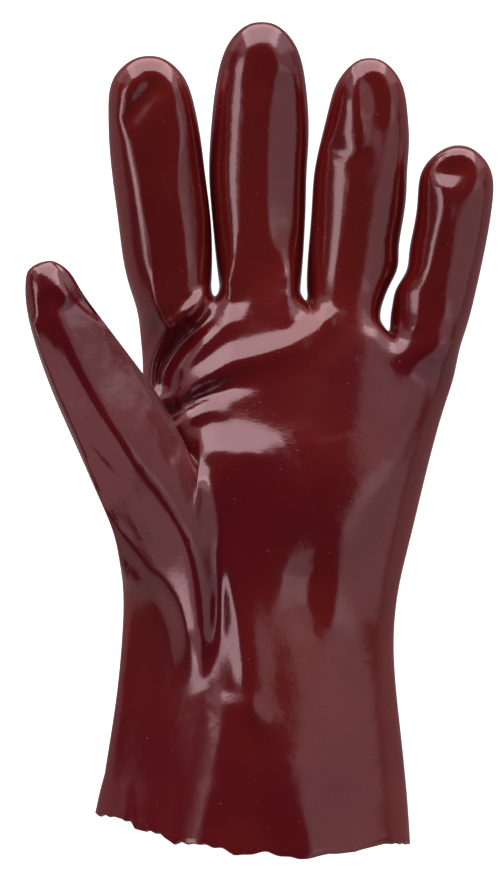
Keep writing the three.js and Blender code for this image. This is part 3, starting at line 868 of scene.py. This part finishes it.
def node(tree, kind, inputs=None, output=0, **settings):
    """Adds a node: its settings first, then the values or links of its sockets, by name or number."""
    made = tree.nodes.new("ShaderNode" + kind)
    for name, value in settings.items():
        setattr(made, name, value)
    for name, value in (inputs or {}).items():
        if isinstance(value, Value):
            tree.links.new(value.socket, made.inputs[name])
        else:
            made.inputs[name].default_value = value
    return Value(tree, made.outputs[output]) if len(made.outputs) else None


def blend_colours(tree, factor, first, second):
    """Goes from the first colour to the second as the factor goes from 0 to 1."""
    # a Mix node has an A and a B for each kind of data, so the ones for colours go by their numbers
    return node(tree, "Mix", {0: factor, 6: first, 7: second}, output=2, data_type="RGBA")


def start_material(material):
    """Empties a material's tree and returns it with its object coordinates."""
    material.use_nodes = True
    tree = material.node_tree
    tree.nodes.clear()
    return tree, node(tree, "TexCoord", output="Object")


def end_material(tree, **sockets):
    """Adds the Principled shader with its sockets, and joins it to the output."""
    names = {
        "base_color": "Base Color",
        "roughness": "Roughness",
        "normal": "Normal",
        "ior": "IOR",
        "specular_tint": "Specular Tint",
        "glow": "Emission Color",
        "glow_strength": "Emission Strength",
    }
    shader = node(tree, "BsdfPrincipled", {names[name]: value for name, value in sockets.items()})
    node(tree, "OutputMaterial", {"Surface": shader})


# %% [markdown]
# ## The dipped plastic
#
# The coat is opaque ox-blood red under a wet-looking gloss. It is rustier where it ran thin, its surface
# has a very fine grain that roughens the borders of each highlight, and a little dust lies on it. The
# strength of the gloss is one number all over, because the whole shell was dipped at once. It is above
# real plastic's (about 1.5), and the lights are dimmer for it, so that low angles wash the red out less.

# %% The skin's material
OXBLOOD = (0.083, 0.0012, 0.0039, 1)
RUST = (0.143, 0.0083, 0.0053, 1)
DUST = (0.42, 0.30, 0.30, 1)
GLOSS_IOR = 2.2
GLOSS_TINT = (1.0, 0.70, 0.75, 1)  # the coat stains what it mirrors a little
WET = 0.11  # roughness of the clean coat between its grains
RUST_SHARE = 0.7  # how far the colour goes to rust where the coat is thinnest
DUST_SHARE = 0.3  # how far it goes to dust in the middle of a speck
DUST_ROUGH = 0.3
CLOUDS = {"scale": 16, "detail": 3, "range": (0.38, 0.66)}  # the range of the noise that makes them
SPECKS = {"scale": 1150, "detail": 1, "range": (0.765, 0.82)}
GRAIN = {"scale": 1500, "height": 0.00003, "rough": 0.06}  # heights are in metres
SWELL = {"scale": 95, "height": 0.00022}


def noise(tree, place, scale, detail=2):
    """A cloudy pattern; scale says how fine it is, for every metre."""
    return node(tree, "TexNoise", {"Vector": place, "Scale": scale, "Detail": detail})


def bump(tree, height):
    """Turns a height in metres into a normal."""
    return node(tree, "Bump", {"Height": height, "Strength": 1.0, "Distance": 1.0})


tree, place = start_material(bpy.data.materials["dipped_skin"])
clouds = noise(tree, place, CLOUDS["scale"], CLOUDS["detail"]).clamp(*CLOUDS["range"])
colour = blend_colours(tree, clouds * RUST_SHARE, OXBLOOD, RUST)
specks = noise(tree, place, SPECKS["scale"], SPECKS["detail"]).clamp(*SPECKS["range"])
colour = blend_colours(tree, specks * DUST_SHARE, colour, DUST)
grain = noise(tree, place, GRAIN["scale"])
swell = noise(tree, place, SWELL["scale"])
skin_bump = bump(tree, grain * GRAIN["height"] + swell * SWELL["height"])
rough = grain * GRAIN["rough"] + WET + specks * DUST_ROUGH
end_material(
    tree, base_color=colour, roughness=rough, normal=skin_bump, ior=GLOSS_IOR, specular_tint=GLOSS_TINT,
)
print("skin material", len(tree.nodes), "nodes")

# %% [markdown]
# The inside is the same plastic with the knit of its carrier showing through: matt and darker. The cut
# edge is bare plastic without the gloss of the dip. Its paler red is partly a painted highlight: the light
# that its rounded edge would catch.

# %% The inside and the cut edge
INSIDE_RED = (0.055, 0.006, 0.007, 1)
# the cut edge's colour: bare plastic, made paler in part as a painted highlight of its rounded edge
CUT_RED_WITH_PAINTED_HIGHLIGHT = (0.26, 0.075, 0.075, 1)
KNIT = {"scale": 900, "height": 0.0001, "rough": 0.5, "range": (0.3, 0.7)}
CRUMB = {"scale": 1400, "detail": 3, "height": 0.00006, "rough": 0.35, "range": (0.35, 0.7)}
ROUGH_SWING = 0.2  # how much rougher either gets at the top of its pattern

tree, place = start_material(bpy.data.materials["dipped_inside"])
knit = noise(tree, place, KNIT["scale"])
shade = blend_colours(tree, knit.clamp(*KNIT["range"]), INSIDE_RED, OXBLOOD)
rough = knit * ROUGH_SWING + KNIT["rough"]
knit_bump = bump(tree, knit * KNIT["height"])
end_material(tree, base_color=shade, roughness=rough, normal=knit_bump, ior=GLOSS_IOR)

tree, place = start_material(bpy.data.materials["dipped_cut"])
crumb = noise(tree, place, CRUMB["scale"], CRUMB["detail"])
# the cut edge's paler red is partly a painted highlight, with crumbs of rust-red in it
cut_colour_with_painted_highlight = blend_colours(tree, crumb.clamp(*CRUMB["range"]), CUT_RED_WITH_PAINTED_HIGHLIGHT, RUST)
rough = crumb * ROUGH_SWING + CRUMB["rough"]
crumb_bump = bump(tree, crumb * CRUMB["height"])
end_material(tree, base_color=cut_colour_with_painted_highlight, roughness=rough, normal=crumb_bump, ior=GLOSS_IOR)
print("inside and cut edge done")

# %% [markdown]
# ## The studio
#
# A wide white table, large soft lights beyond the fingertips, a bright strip between two dimmer panels on
# the thumb's side, and two dim panels on the other side. Gloss shows only what it mirrors, so the lights'
# sizes and places draw the picture. They hang more than 2 m away, and the camera doesn't see them.

# %% The table
TABLE_SIZE = 14.0
TABLE_GLOW = 1.0
BOARD_DARK = (0.58, 0.58, 0.59, 1)
BOARD_LIGHT = (0.62, 0.62, 0.62, 1)
BOARD_ROUGH = 0.7
FIBRE_SCALE = 40
WHITE = (1, 1, 1, 1)

bpy.ops.object.select_all(action="DESELECT")
bpy.ops.mesh.primitive_plane_add(size=TABLE_SIZE, location=(0, 0, 0))
floor = bpy.context.object
floor.name = "table_top"
floor.data.materials.append(bpy.data.materials.new("white_board"))
tree, place = start_material(floor.data.materials[0])
board = blend_colours(tree, noise(tree, place, FIBRE_SCALE), BOARD_DARK, BOARD_LIGHT)
end_material(tree, base_color=board, roughness=BOARD_ROUGH, glow=WHITE, glow_strength=TABLE_GLOW)
floor.visible_glossy = False
print("table", TABLE_SIZE, "m")

# %% The lights
FAR = 2.2  # m, from the frame's origin to the middle of each light
STEP_DOWN = 0.16  # how much narrower each light is than the one around it, as a share of the widest


def panel(name, away, turn, width, height, radiance, steps=3, tint=(1, 1, 1)):
    """A rectangular light away degrees from straight up, turn degrees round from +Y towards -X.

    With steps it is several lights inside each other, so that it dims towards its border.
    """
    polar, round_about = math.radians(away), math.radians(turn)
    place = (
        -math.sin(polar) * math.sin(round_about) * FAR,
        math.sin(polar) * math.cos(round_about) * FAR,
        math.cos(polar) * FAR,
    )
    for step in range(steps):
        share = 1 - STEP_DOWN * step
        bpy.ops.object.light_add(type="AREA", location=place, rotation=(-polar, 0, round_about))
        light = bpy.context.object
        light.name = f"{name}_{step}"
        light.data.shape = "RECTANGLE"
        light.data.size = width * share
        light.data.size_y = height * share
        light.data.energy = radiance / steps * math.pi * width * height * share**2
        light.data.color = tint
        light.visible_camera = False
    print(name, [round(v, 2) for v in place])


panel("beyond_the_tips", 80, 0, 4.1, 4.1, 3.9, steps=2)
panel("tips_left", 82, 46, 1.5, 3.0, 0.9)
panel("tips_right", 82, -46, 1.5, 3.0, 1.4)
panel("thumb_side_bright", 55, 97, 1.5, 0.82, 4.8)
panel("thumb_side_high", 56, 62, 1.5, 1.2, 0.37)
panel("thumb_side_low", 50, 138, 1.9, 1.6, 1.65, tint=(1, 0.66, 0.68))
panel("far_side_high", 62, -65, 1.9, 2.2, 0.95)
panel("far_side_low", 62, -115, 1.9, 2.2, 0.95)

# %% The dark room
ROOM = (0.03, 0.03, 0.035, 1)
UNDER_EDGE = (0.22, 0.2, 0.2, 1)  # what the lowest edges of the glove mirror, in place of the bright table
HORIZON = (-0.12, 0.02)  # heights between which the one colour goes over into the other

world = bpy.data.worlds.new("room")
bpy.context.scene.world = world
world.use_nodes = True
tree = world.node_tree
height = node(tree, "SeparateXYZ", {"Vector": node(tree, "TexCoord", output="Generated")}, output="Z")
sky = blend_colours(tree, height.clamp(*HORIZON), UNDER_EDGE, ROOM)
tree.links.new(sky.socket, tree.nodes["Background"].inputs["Color"])
bpy.context.scene.view_settings.view_transform = "Standard"
print("room", ROOM[:3])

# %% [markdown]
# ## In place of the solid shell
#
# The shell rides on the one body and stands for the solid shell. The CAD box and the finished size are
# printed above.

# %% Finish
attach(glove, "root")
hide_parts("glove_shell")
